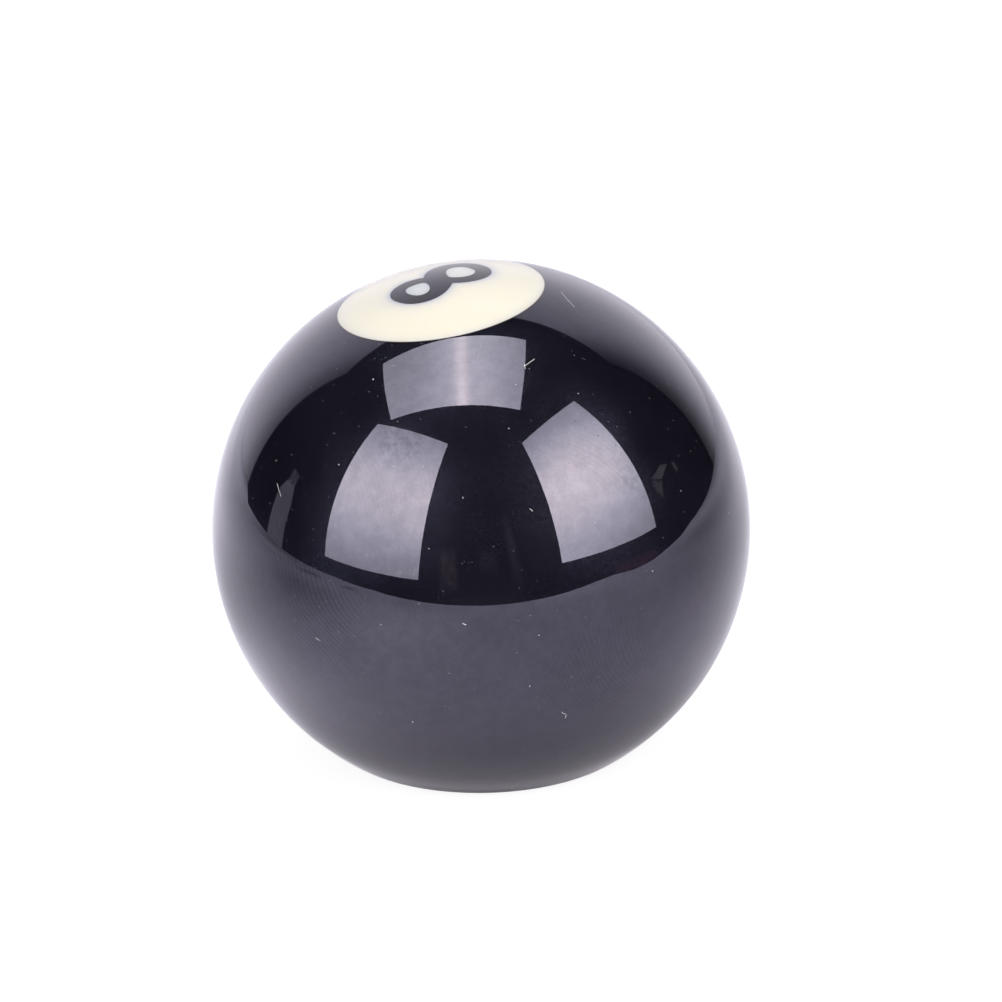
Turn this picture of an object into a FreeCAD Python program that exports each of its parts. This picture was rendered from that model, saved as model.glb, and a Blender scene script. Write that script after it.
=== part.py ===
import FreeCAD, Part
import math
import os

# Number-8 ball turned into a lever knob. A cast resin ball is ground flat underneath, an
# insert is bonded into the base, and a screwed adapter in the insert takes the lever's thread.
# Origin: centre of the flat base. +Z up along the lever's axis. Millimetres.

V = FreeCAD.Vector
UP = V(0, 0, 1)

# ball
BALL_R = 54.0 / 2
BASE_R = 31.0 / 2             # flat ground on the underside
BASE_EDGE_R = 0.15            # broken edge of the flat
INSERT_BORE_DEPTH = 23.0      # blind bore for the insert, from the base
CENTRE = V(0, 0, math.sqrt(BALL_R ** 2 - BASE_R ** 2))
CUTTER_HALF = 40.0            # half width, and depth, of the box that removes the underside
RIM_MIN_LENGTH = 50.0         # the base rim is the only edge at z = 0 longer than this

# number plug, let into the ball
NUMBER_TILT = 7.9             # deg, number axis from vertical, leaning towards -X
NUMBER_R = 20.9 / 2
NUMBER_FLOOR = 21.9           # plug's flat floor, from the ball's centre
PRISM_HEIGHT = BALL_R - NUMBER_FLOOR + 1.0    # from the floor to 1 mm beyond the ball
NUMERAL_TURN = 40.2           # deg, long axis of the 8 from the disc's own X
NUMERAL_AT = (0.31, 0.49)     # centre of the 8 on the disc, x and y

# outline of the 8: (along, across) its long axis, one curve per loop, notch to notch
SMALL_LOOP = [
    (-0.62, 1.90), (-1.20, 2.46), (-2.00, 2.93), (-2.95, 3.10), (-3.95, 2.90),
    (-4.85, 2.22), (-5.42, 1.22), (-5.60, 0.00), (-5.42, -1.22), (-4.85, -2.20),
    (-3.95, -2.85), (-2.90, -3.08), (-1.75, -2.90), (-0.85, -2.48), (-0.18, -2.02)]
LARGE_LOOP = [
    (-0.18, -2.02), (0.45, -2.66), (1.35, -3.20), (2.50, -3.42), (3.60, -3.18),
    (4.55, -2.42), (5.18, -1.32), (5.40, 0.00), (5.18, 1.32), (4.55, 2.42),
    (3.60, 3.18), (2.50, 3.42), (1.30, 3.25), (0.35, 2.78), (-0.62, 1.90)]

# counters: centre (along, across), then radii at equal angles, 15 degrees apart
LARGE_COUNTER_AT = (2.43, -0.02)
LARGE_COUNTER = [
    1.30, 1.35, 1.43, 1.50, 1.58, 1.61, 1.56, 1.47, 1.39, 1.33, 1.33, 1.39,
    1.54, 1.75, 1.81, 1.82, 1.85, 1.84, 1.81, 1.74, 1.65, 1.55, 1.43, 1.34]
SMALL_COUNTER_AT = (-2.83, 0.18)
SMALL_COUNTER = [
    1.20, 1.31, 1.32, 1.25, 1.21, 1.20, 1.26, 1.30, 1.29, 1.25, 1.20, 1.17,
    1.17, 1.24, 1.33, 1.46, 1.56, 1.58, 1.50, 1.38, 1.25, 1.17, 1.13, 1.14]

# thread between insert and adapter, M16 x 1.5, held as its pitch cylinder
SCREW_R = 7.50
SCREW_CLEARANCE = 0.05
SCREW_CHAMFER = 0.5

# threaded insert
INSERT_R = 20.0 / 2
INSERT_LEN = 22.0
INSERT_FLOOR = 20.0           # depth of the threaded hole
INSERT_LOW_CHAMFER = 0.3
INSERT_TOP_CHAMFER = 0.5
NECK_R = 18.6 / 2             # resin key groove between the knurled bands
NECK_BOTTOM, NECK_TOP = 9.2, 12.3
NECK_SLOPE = 0.3              # height of each sloping side of the neck
KNURL_BANDS = [(2.0, 8.5), (13.0, 19.5)]      # bottom and top z
KNURL_TEETH = 40
KNURL_DEPTH = 0.4
KNURL_OVERCUT = 0.3           # groove cutter's reach outside the insert
KNURL_HALF_W = math.pi * INSERT_R / KNURL_TEETH * 0.75    # three quarters of half a pitch

# adapter, M16 x 1.5 outside, M10 x 1.25 inside
ADAPTER_LEN = 18.0
LEVER_MINOR_R = 4.32
LEVER_CHAMFER = 0.5
SLOT_W = 2.0
SLOT_DEPTH = 1.5
SLOT_CUTTER_LEN = 40.0


def save(shape, node):
    if len(shape.Solids) == 1:
        shape = shape.removeSplitter()
    if shape.ShapeType == "Compound" and len(shape.Solids) == 1:
        shape = shape.Solids[0]
    assert shape.isValid() and len(shape.Solids) == 1, node
    shape.exportStep(os.path.join("parts", node + ".step"))


def place_number(shape):
    """Tilt from the number's frame (Z out through the disc, origin at the ball's centre)."""
    shape = shape.copy()
    shape.Placement = FreeCAD.Placement(CENTRE, FreeCAD.Rotation(V(0, 1, 0), -NUMBER_TILT))
    return shape


def on_disc(along, across):
    turn = math.radians(NUMERAL_TURN)
    return V(NUMERAL_AT[0] + along * math.cos(turn) - across * math.sin(turn),
             NUMERAL_AT[1] + along * math.sin(turn) + across * math.cos(turn),
             NUMBER_FLOOR)


def curve(points, periodic=False):
    spline = Part.BSplineCurve()
    spline.interpolate([on_disc(*point) for point in points], PeriodicFlag=periodic)
    return spline.toShape()


def prism(*edges):
    return Part.Face(Part.Wire(list(edges))).extrude(UP * PRISM_HEIGHT)


def counter_prism(centre, radii):
    points = []
    for i, radius in enumerate(radii):
        angle = 2 * math.pi * i / len(radii)
        points.append((centre[0] + radius * math.cos(angle),
                       centre[1] + radius * math.sin(angle)))
    return prism(curve(points, periodic=True))


def polygon_face(points):
    return Part.Face(Part.makePolygon(points + points[:1]))


def revolved(profile):
    """Turn a closed (radius, z) profile about Z."""
    return polygon_face([V(radius, 0, z) for radius, z in profile]).revolve(V(), UP, 360)


def ball_body(plug):
    ball = Part.makeSphere(BALL_R, CENTRE)
    corner = V(-CUTTER_HALF, -CUTTER_HALF, -CUTTER_HALF)
    ball = ball.cut(Part.makeBox(2 * CUTTER_HALF, 2 * CUTTER_HALF, CUTTER_HALF, corner))
    rim = [edge for edge in ball.Edges
           if abs(edge.BoundBox.ZMax) < 1e-3 and edge.Length > RIM_MIN_LENGTH]
    ball = ball.makeFillet(BASE_EDGE_R, rim)
    bore = Part.makeCylinder(INSERT_R, INSERT_BORE_DEPTH)
    return ball.cut(place_number(plug)).cut(bore)


def save_number(plug):
    """Cream disc, black 8 right through it, cream islands in the loops."""
    sphere = Part.makeSphere(BALL_R)
    figure = prism(curve(SMALL_LOOP), curve(LARGE_LOOP))
    large = counter_prism(LARGE_COUNTER_AT, LARGE_COUNTER)
    small = counter_prism(SMALL_COUNTER_AT, SMALL_COUNTER)
    save(place_number(plug.common(sphere).cut(figure)), "number_disc")
    save(place_number(figure.cut(large).cut(small).common(sphere)), "numeral_eight")
    save(place_number(large.common(sphere)), "counter_large")
    save(place_number(small.common(sphere)), "counter_small")


def knurl_cutters(bottom, top):
    root = V(INSERT_R - KNURL_DEPTH, 0, bottom)
    outer = INSERT_R + KNURL_OVERCUT
    groove = polygon_face([root, V(outer, -KNURL_HALF_W, bottom),
                           V(outer, KNURL_HALF_W, bottom)]).extrude(UP * (top - bottom))
    cutters = []
    for i in range(KNURL_TEETH):
        cutter = groove.copy()
        cutter.rotate(V(), UP, 360.0 * i / KNURL_TEETH)
        cutters.append(cutter)
    return Part.makeCompound(cutters)


def threaded_insert():
    """Blind from below, with two knurled bands and a neck between them."""
    bore_r = SCREW_R + SCREW_CLEARANCE
    insert = revolved([
        (bore_r + SCREW_CHAMFER, 0),
        (INSERT_R - INSERT_LOW_CHAMFER, 0), (INSERT_R, INSERT_LOW_CHAMFER),
        (INSERT_R, NECK_BOTTOM), (NECK_R, NECK_BOTTOM + NECK_SLOPE),
        (NECK_R, NECK_TOP - NECK_SLOPE), (INSERT_R, NECK_TOP),
        (INSERT_R, INSERT_LEN - INSERT_TOP_CHAMFER),
        (INSERT_R - INSERT_TOP_CHAMFER, INSERT_LEN), (0, INSERT_LEN),
        (0, INSERT_FLOOR), (bore_r, INSERT_FLOOR), (bore_r, SCREW_CHAMFER)])
    for bottom, top in KNURL_BANDS:
        insert = insert.cut(knurl_cutters(bottom, top))
    return insert


def thread_adapter():
    """Open right through, slotted for a screwdriver at its lower end."""
    mouth_r = LEVER_MINOR_R + LEVER_CHAMFER
    end_r = SCREW_R - SCREW_CHAMFER
    adapter = revolved([
        (mouth_r, 0), (end_r, 0), (SCREW_R, SCREW_CHAMFER),
        (SCREW_R, ADAPTER_LEN - SCREW_CHAMFER), (end_r, ADAPTER_LEN), (mouth_r, ADAPTER_LEN),
        (LEVER_MINOR_R, ADAPTER_LEN - LEVER_CHAMFER), (LEVER_MINOR_R, LEVER_CHAMFER)])
    return adapter.cut(Part.makeBox(SLOT_CUTTER_LEN, SLOT_W, SLOT_DEPTH,
                                    V(-SLOT_CUTTER_LEN / 2, -SLOT_W / 2, 0)))


os.makedirs("parts", exist_ok=True)
number_plug = Part.makeCylinder(NUMBER_R, PRISM_HEIGHT, V(0, 0, NUMBER_FLOOR))
save(ball_body(number_plug), "ball_body")
save_number(number_plug)
save(threaded_insert(), "threaded_insert")
save(thread_adapter(), "thread_adapter")
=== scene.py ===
# A resin ball knob with a cream disc and a black 8 let into its top, a brass threaded insert in
# its bore, and a slotted aluminium thread adapter.
# The knob stands on its flat at z = 0 with Z up, and its disc leans towards -X. The camera looks
# from -Y and above. Sizes are in mm unless noted, and meshes are stored in metres.
import math
from functools import reduce
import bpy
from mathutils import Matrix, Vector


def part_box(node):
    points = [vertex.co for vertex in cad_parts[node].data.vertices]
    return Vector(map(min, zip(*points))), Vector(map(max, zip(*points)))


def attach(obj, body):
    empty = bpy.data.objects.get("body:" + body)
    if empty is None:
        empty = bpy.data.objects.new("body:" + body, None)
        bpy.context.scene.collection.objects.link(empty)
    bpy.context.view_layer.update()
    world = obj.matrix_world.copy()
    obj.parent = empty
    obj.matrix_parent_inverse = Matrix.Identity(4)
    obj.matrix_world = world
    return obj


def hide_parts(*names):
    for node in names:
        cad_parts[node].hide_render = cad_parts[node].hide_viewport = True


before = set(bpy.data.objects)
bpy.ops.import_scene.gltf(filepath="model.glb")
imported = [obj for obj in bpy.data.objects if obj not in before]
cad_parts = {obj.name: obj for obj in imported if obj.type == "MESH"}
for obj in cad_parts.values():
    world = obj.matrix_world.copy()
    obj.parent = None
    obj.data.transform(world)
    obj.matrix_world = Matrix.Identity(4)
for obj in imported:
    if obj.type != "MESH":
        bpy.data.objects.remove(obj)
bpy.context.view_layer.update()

from types import SimpleNamespace

import bmesh
import bpy
import numpy as np
from mathutils import Matrix, Vector
from mathutils.geometry import delaunay_2d_cdt

scene = bpy.context.scene
MM = 0.001

# ------------------------------------------------------------------ dimensions, mm
ball_lo, ball_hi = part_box("ball_body")
BALL_R = round((ball_hi.x - ball_lo.x) / MM) / 2.0
BASE_R = 15.5                                   # the flat underneath
CENTRE_Z = math.sqrt(BALL_R ** 2 - BASE_R ** 2)
CENTRE = Vector((0, 0, CENTRE_Z * MM))          # in metres
EDGE_R = 0.15                                   # rounding round the flat
TILT = math.radians(7.9)                        # lean of the disc's axis
DISC_R = 10.45
FLOOR = 21.9                                    # inlay floor, from the ball's centre
BORE_R = 10.0
BORE_Z = 23.0
BALL_SEGMENTS = 384
OUTLINE_STEP = 0.11                             # point spacing along the inlay outlines

# The numeral lies in its own flat frame, turned and moved onto the disc. Its outline is an open
# curve round the small lobe (x, y) and another round the large one, meeting at two corners.
NUMERAL_TURN = math.radians(40.2)
NUMERAL_AT = (0.31, 0.49)
SMALL_LOBE = [
    (-0.62, 1.90), (-1.20, 2.46), (-2.00, 2.93), (-2.95, 3.10), (-3.95, 2.90),
    (-4.85, 2.22), (-5.42, 1.22), (-5.60, 0.00), (-5.42, -1.22), (-4.85, -2.20),
    (-3.95, -2.85), (-2.90, -3.08), (-1.75, -2.90), (-0.85, -2.48), (-0.18, -2.02)]
LARGE_LOBE = [
    (-0.18, -2.02), (0.45, -2.66), (1.35, -3.20), (2.50, -3.42), (3.60, -3.18),
    (4.55, -2.42), (5.18, -1.32), (5.40, 0.00), (5.18, 1.32), (4.55, 2.42),
    (3.60, 3.18), (2.50, 3.42), (1.30, 3.25), (0.35, 2.78), (-0.62, 1.90)]
# Counters: centre in the numeral's frame, then radii at equal angles from +x
LARGE_COUNTER_AT = (2.43, -0.02)
LARGE_COUNTER_RADII = [
    1.30, 1.35, 1.43, 1.50, 1.58, 1.61, 1.56, 1.47, 1.39, 1.33, 1.33, 1.39,
    1.54, 1.75, 1.81, 1.82, 1.85, 1.84, 1.81, 1.74, 1.65, 1.55, 1.43, 1.34]
SMALL_COUNTER_AT = (-2.83, 0.18)
SMALL_COUNTER_RADII = [
    1.20, 1.31, 1.32, 1.25, 1.21, 1.20, 1.26, 1.30, 1.29, 1.25, 1.20, 1.17,
    1.17, 1.24, 1.33, 1.46, 1.56, 1.58, 1.50, 1.38, 1.25, 1.17, 1.13, 1.14]


# ------------------------------------------------------------------ curves
def spline(points, closed, per_span):
    """C2 cubic through the points by chord length, sampled per_span times a span"""
    knots = np.array(points, float)
    if closed:
        knots = np.vstack([knots, knots[:1]])
    steps = np.diff(knots, axis=0)
    chord = np.linalg.norm(steps, axis=1)
    slope = steps / chord[:, None]
    count = len(knots)
    system = np.zeros((count, count))
    target = np.zeros((count, 2))
    for i in range(1, count - 1):
        system[i, i - 1:i + 2] = chord[i - 1], 2 * (chord[i - 1] + chord[i]), chord[i]
        target[i] = 6 * (slope[i] - slope[i - 1])
    if closed:
        system[0, 0], system[0, -1] = 1, -1
        system[-1, 0], system[-1, 1] = 2 * (chord[-1] + chord[0]), chord[0]
        system[-1, -2] = chord[-1]
        target[-1] = 6 * (slope[0] - slope[-1])
    else:
        system[0, 0], system[0, 1] = 1, -1
        system[-1, -1], system[-1, -2] = 1, -1
    bend = np.linalg.solve(system, target)
    out = []
    for i in range(count - 1):
        span = chord[i]
        for k in range(per_span):
            after = k / per_span * span
            before = span - after
            out.append((bend[i] * before ** 3 + bend[i + 1] * after ** 3) / (6 * span)
                       + (knots[i] / span - bend[i] * span / 6) * before
                       + (knots[i + 1] / span - bend[i + 1] * span / 6) * after)
    if not closed:
        out.append(knots[-1])
    return np.array(out)


def on_disc(points):
    """From the numeral's frame to the disc's"""
    cos, sin = math.cos(NUMERAL_TURN), math.sin(NUMERAL_TURN)
    x, y = points[:, 0], points[:, 1]
    return np.c_[NUMERAL_AT[0] + x * cos - y * sin, NUMERAL_AT[1] + x * sin + y * cos]


def resample(loop, corner_turn=0.5):
    """Closed loop at even spacing, keeping the corners that turn more than corner_turn radians"""
    back = np.roll(loop, 1, 0) - loop
    ahead = np.roll(loop, -1, 0) - loop
    lengths = np.linalg.norm(back, axis=1) * np.linalg.norm(ahead, axis=1)
    turn = np.pi - np.arccos(np.clip((back * ahead).sum(1) / lengths, -1, 1))
    corners = [i for i in range(len(loop)) if turn[i] > corner_turn] or [0]
    out = []
    for k, start in enumerate(corners):
        end = corners[(k + 1) % len(corners)]
        if end > start:
            part = loop[start:end + 1]
        else:
            part = np.vstack([loop[start:], loop[:end + 1]])
        steps = np.linalg.norm(np.diff(part, axis=0), axis=1)
        along = np.concatenate([[0], np.cumsum(steps)])
        count = max(3, int(round(along[-1] / OUTLINE_STEP)))
        places = np.linspace(0, along[-1], count + 1)[:-1]
        out.append(np.c_[np.interp(places, along, part[:, 0]),
                         np.interp(places, along, part[:, 1])])
    return np.vstack(out)


def counter(centre, radii):
    turn = np.arange(len(radii)) * 2 * np.pi / len(radii)
    radii = np.array(radii)
    points = np.c_[centre[0] + radii * np.cos(turn), centre[1] + radii * np.sin(turn)]
    return resample(on_disc(spline(points, closed=True, per_span=12)))


def inside(loop, points):
    """Even-odd test of each point against a closed loop"""
    x, y = points[:, 0], points[:, 1]
    hit = np.zeros(len(points), bool)
    for (xi, yi), (xj, yj) in zip(loop, np.roll(loop, 1, 0)):
        hit ^= ((yi > y) != (yj > y)) & (x < (xj - xi) * (y - yi) / ((yj - yi) or 1e-12) + xi)
    return hit


def distance(loop, points):
    """Distance of each point from a closed loop"""
    best = np.full(len(points), 1e9)
    for start, end in zip(loop, np.roll(loop, -1, 0)):
        side = end - start
        share = np.clip(((points - start) @ side) / max(side @ side, 1e-12), 0, 1)
        gap = np.linalg.norm(points - start - share[:, None] * side, axis=1)
        best = np.minimum(best, gap)
    return best


numeral_outline = resample(on_disc(np.vstack([
    spline(lobe, closed=False, per_span=24)[:-1] for lobe in (SMALL_LOBE, LARGE_LOBE)])))
large_outline = counter(LARGE_COUNTER_AT, LARGE_COUNTER_RADII)
small_outline = counter(SMALL_COUNTER_AT, SMALL_COUNTER_RADII)
rim_turn = np.arange(BALL_SEGMENTS) * 2 * np.pi / BALL_SEGMENTS
rim_outline = np.c_[DISC_R * np.cos(rim_turn), DISC_R * np.sin(rim_turn)]


# ------------------------------------------------------------------ mesh helpers
def lean(points, angle):
    """Mm about the ball's centre, tipped by angle towards -X, to mm above the flat"""
    cos, sin = math.cos(angle), math.sin(angle)
    x, y, z = points[:, 0], points[:, 1], points[:, 2]
    return np.c_[cos * x - sin * z, y, sin * x + cos * z + CENTRE_Z]


def new_mesh(name, points, faces):
    """Smooth-shaded object from points in mm"""
    mesh = bpy.data.meshes.new(name)
    mesh.from_pydata([tuple(v) for v in points * MM], [], [list(f) for f in faces])
    mesh.validate()
    mesh.update()
    obj = bpy.data.objects.new(name, mesh)
    scene.collection.objects.link(obj)
    mesh.polygons.foreach_set("use_smooth", [True] * len(mesh.polygons))
    return obj


def tidy(obj, degrees=30, recalc=True):
    """Smooth faces, with edges past the angle sharp; recalc also turns the faces outwards"""
    edit = bmesh.new()
    edit.from_mesh(obj.data)
    if recalc:
        bmesh.ops.recalc_face_normals(edit, faces=edit.faces)
    limit = math.radians(degrees)
    for edge in edit.edges:
        edge.smooth = len(edge.link_faces) == 2 and edge.calc_face_angle(0) < limit
    edit.to_mesh(obj.data)
    edit.free()
    obj.data.polygons.foreach_set("use_smooth", [True] * len(obj.data.polygons))


def radial_normals(obj):
    """Exact outward normals on the ball's own surface, the mesh's own elsewhere"""
    mesh = obj.data
    normals = [Vector((0, 0, 0))] * len(mesh.loops)
    for face in mesh.polygons:
        on_ball = all(abs((mesh.vertices[v].co - CENTRE).length / MM - BALL_R) < 2e-3
                      for v in face.vertices)
        if on_ball and (face.center - CENTRE).normalized().dot(face.normal) > 0.9:
            for i in face.loop_indices:
                corner = mesh.vertices[mesh.loops[i].vertex_index].co
                normals[i] = (corner - CENTRE).normalized()
    mesh.normals_split_custom_set(normals)


def ring_maker(count):
    """Angles of a ring's points, and a function placing a ring at a radius and height"""
    turn = np.arange(count) * 2 * np.pi / count
    cos, sin = np.cos(turn), np.sin(turn)

    def ring(radius, z):
        radius = np.broadcast_to(radius, (count,))
        return np.c_[radius * cos, radius * sin, np.full(count, float(z))]

    return turn, ring


def ring_mesh(name, rings, poles=None):
    """Rings joined in order; the ends close on two pole points, or else on each other"""
    count = len(rings[0])
    points = np.vstack(rings)
    last = (len(rings) - 1) * count
    pairs = [(i, (i + 1) % count) for i in range(count)]
    faces = [(k + i, k + j, k + count + j, k + count + i)
             for k in range(0, last, count) for i, j in pairs]
    if poles is None:
        faces += [(last + i, last + j, j, i) for i, j in pairs]
    else:
        pole = len(points)
        faces += [(pole, j, i) for i, j in pairs]
        faces += [(pole + 1, last + i, last + j) for i, j in pairs]
        points = np.vstack([points, np.array(poles)])
    return new_mesh(name, points, faces)


# ------------------------------------------------------------------ the resin pieces
def make_ball():
    _, ring = ring_maker(BALL_SEGMENTS)
    # the disc's recess: floor, then wall
    rings = [lean(ring(DISC_R * k, FLOOR), TILT) for k in (0.25, 0.5, 0.75, 1.0)]
    wall = math.sqrt(BALL_R ** 2 - DISC_R ** 2) - FLOOR
    rings += [lean(ring(DISC_R, FLOOR + wall * k), TILT) for k in (0.35, 0.7)]
    # the sphere, its rings easing from the disc's lean to level
    edge_ring_r = math.sqrt((BALL_R - EDGE_R) ** 2 - (CENTRE_Z - EDGE_R) ** 2)
    edge_angle = math.asin(edge_ring_r / (BALL_R - EDGE_R))
    first = math.asin(DISC_R / BALL_R)
    last = math.pi - edge_angle
    spans = 200
    for i in range(spans + 1):
        share = i / spans
        polar = first + (last - first) * share
        ease = share * share * (3 - 2 * share)
        level = ring(BALL_R * math.sin(polar), BALL_R * math.cos(polar))
        rings.append(lean(level, TILT * (1 - ease)))
    # the rounded edge, the flat and the bore
    for i in range(1, 9):
        angle = edge_angle * (1 - i / 8)
        rings.append(ring(edge_ring_r + EDGE_R * math.sin(angle),
                          EDGE_R - EDGE_R * math.cos(angle)))
    rings += [ring(radius, 0) for radius in np.linspace(edge_ring_r, BORE_R, 9)[1:]]
    rings += [ring(BORE_R, z) for z in np.linspace(0, BORE_Z, 13)[1:]]
    rings += [ring(BORE_R * k, BORE_Z) for k in (0.75, 0.5, 0.25)]
    recess_pole = lean(np.array([[0, 0, FLOOR]]), TILT)[0]
    obj = ring_mesh("ball_resin", rings, (recess_pole, (0, 0, BORE_Z)))
    tidy(obj)
    radial_normals(obj)
    return obj


def fill(points, edges, outer, holes):
    """Upward triangles over the points, within the outer loop and outside the holes"""
    verts, _, tris, *_ = delaunay_2d_cdt([Vector(v) for v in points], edges, [], 0, 1e-7)
    assert len(verts) == len(points)            # the indices hold only if none were merged
    tris = np.array([tri for tri in tris if len(tri) == 3])
    middle = points[tris].mean(1)
    keep = inside(outer, middle)
    for hole in holes:
        keep &= ~inside(hole, middle)
    tris = tris[keep]
    start = points[tris[:, 0]]
    one = points[tris[:, 1]] - start
    two = points[tris[:, 2]] - start
    area = one[:, 0] * two[:, 1] - one[:, 1] * two[:, 0]
    tris[area < 0] = tris[area < 0][:, ::-1]
    return tris


def inlay(name, outer, holes, spacing):
    """A plug with its top on the ball's surface, straight walls and a flat floor"""
    loops = [outer] + holes
    lo, hi = outer.min(0), outer.max(0)
    columns = np.arange(lo[0], hi[0] + spacing, spacing)
    rows = np.arange(lo[1], hi[1] + spacing, spacing * 0.866)
    grid = np.array([(x + (j % 2) * spacing / 2, y) for j, y in enumerate(rows) for x in columns])
    grid = grid[inside(outer, grid)]
    for hole in holes:
        grid = grid[~inside(hole, grid)]
    for loop in loops:
        grid = grid[distance(loop, grid) > spacing * 0.55]
    points = np.vstack(loops + [grid])
    count = len(points)

    # each loop's edges, and its wall down to the floor's points
    edges = []
    walls = []
    for loop in loops:
        x, y = loop[:, 0], loop[:, 1]
        anticlockwise = np.sum(x * np.roll(y, -1) - np.roll(x, -1) * y) > 0
        start = len(edges)
        for i in range(len(loop)):
            here, ahead = start + i, start + (i + 1) % len(loop)
            edges.append((here, ahead))
            wall = (here, count + here, count + ahead, ahead)
            walls.append(wall if anticlockwise == (loop is outer) else wall[::-1])
    border = len(edges)

    faces = [tuple(tri) for tri in fill(points, edges, outer, holes)]
    faces += [(count + i, count + k, count + j)
              for i, j, k in fill(points[:border], edges, outer, holes)]
    crown = np.sqrt(BALL_R ** 2 - (points ** 2).sum(1))
    solid = np.vstack([np.c_[points, crown], np.c_[points[:border], np.full(border, FLOOR)]])
    obj = new_mesh(name, lean(solid, TILT), faces + walls)
    tidy(obj, recalc=False)
    radial_normals(obj)
    # distances from the colour borders and from the disc's rim, for the materials
    borders = (numeral_outline, large_outline, small_outline)
    for label, lines in (("black_mm", borders), ("rim_mm", (rim_outline,))):
        gap = np.minimum.reduce([distance(line, points) for line in lines])
        gap = np.concatenate([gap, gap[:border]])
        layer = obj.data.attributes.new(label, "FLOAT", "POINT")
        layer.data.foreach_set("value", gap.astype(np.float32))
    return obj


# ------------------------------------------------------------------ threaded metal
THREAD_DEPTH = 0.56                     # of the pitch
TURN_STEPS = 12                         # rings in one pitch
# the knob's insert and the adapter's outside share one thread, the adapter's inside has another
OUTER_PITCH = 1.5
OUTER_THREAD_R = 8.0
INNER_PITCH = 1.25
INNER_THREAD_R = 5.0
INSERT_HOLE_Z = 20.0
INSERT_TOP = 22.0
WAIST_R = 9.3                           # groove between the knurled bands
KNURL_BANDS = ((2.0, 8.5), (13.0, 19.5))
KNURL_TEETH = 40
KNURL_DEPTH = 0.4
ADAPTER_LENGTH = 18.0
SLOT_CUTTER = (40.0, 2.0, 3.0)          # centred on the lower face, so half its height cuts


def thread(z, turn, pitch, nominal, gap):
    """Radius of a right-hand 60 degree thread, moved out by gap"""
    phase = (z / pitch - turn / (2 * np.pi) + 0.5) % 1.0 - 0.5
    # flat crest an eighth of the pitch wide, flat root a quarter
    flank = np.clip((np.abs(phase) - 1 / 16) / (3 / 8 - 1 / 16), 0, 1)
    return nominal - THREAD_DEPTH * pitch * flank + gap


def make_insert():
    turn, ring = ring_maker(240)
    gap = 0.03
    minor = OUTER_THREAD_R - THREAD_DEPTH * OUTER_PITCH + gap
    runout_from, runout_to = 18.6, 19.6
    mouth_chamfer = 1.1
    rings = [ring(3.6, INSERT_HOLE_Z)]
    for z in np.arange(INSERT_HOLE_Z, 0.0001, -OUTER_PITCH / TURN_STEPS):
        radius = thread(z, turn, OUTER_PITCH, OUTER_THREAD_R, gap)
        if z > runout_from:
            radius = minor + (radius - minor) * max(0.0, runout_to - z)
        radius = np.maximum(radius, minor + max(0.0, mouth_chamfer - z))
        rings.append(ring(radius, z))
    rings += [ring(8.3, 0.0), ring(8.9, 0.0), ring(9.7, 0.0), ring(BORE_R, 0.3)]

    tooth = (turn * KNURL_TEETH / (2 * np.pi) + 0.5) % 1.0 - 0.5
    groove = KNURL_DEPTH * np.clip(1 - np.abs(tooth) / 0.36, 0, 1)

    def wall(z):
        """Outside ring, grooved within the bands and fading at their ends"""
        for low, high in KNURL_BANDS:
            if low <= z <= high:
                return ring(BORE_R - groove * np.clip(min(z - low, high - z) / 0.25, 0, 1), z)
        return ring(BORE_R, z)

    rings += [wall(z) for z in (1.0, 1.9, 2.0, 2.1, 2.25, 4.0, 6.0, 8.25, 8.4, 8.5, 8.8, 9.2)]
    rings += [ring(WAIST_R, z) for z in (9.5, 10.7, 12.0)]
    rings.append(ring(BORE_R, 12.3))
    rings += [wall(z) for z in (12.8, 13.0, 13.1, 13.25, 15.0, 17.0, 19.25, 19.4, 19.5,
                                20.0, 21.5)]
    rings += [ring(9.5, INSERT_TOP), ring(5.0, INSERT_TOP)]
    obj = ring_mesh("insert_metal", rings, ((0, 0, INSERT_HOLE_Z), (0, 0, INSERT_TOP)))
    tidy(obj, 25)
    return obj


def cut_slot(obj):
    """Cut the slot across the lower face"""
    cutter_mesh = bpy.data.meshes.new("slot_cut")
    edit = bmesh.new()
    size = Matrix.Diagonal([side * MM for side in SLOT_CUTTER] + [1.0])
    bmesh.ops.create_cube(edit, size=1.0, matrix=size)
    edit.to_mesh(cutter_mesh)
    edit.free()
    cutter = bpy.data.objects.new("slot_cut", cutter_mesh)
    scene.collection.objects.link(cutter)
    modifier = obj.modifiers.new("slot", "BOOLEAN")
    modifier.operation = "DIFFERENCE"
    modifier.solver = "EXACT"
    modifier.object = cutter
    depsgraph = bpy.context.evaluated_depsgraph_get()
    mesh = bpy.data.meshes.new_from_object(obj.evaluated_get(depsgraph))
    obj.modifiers.clear()
    uncut = obj.data
    obj.data = mesh
    bpy.data.meshes.remove(uncut)
    mesh.name = obj.name
    bpy.data.objects.remove(cutter)


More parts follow.
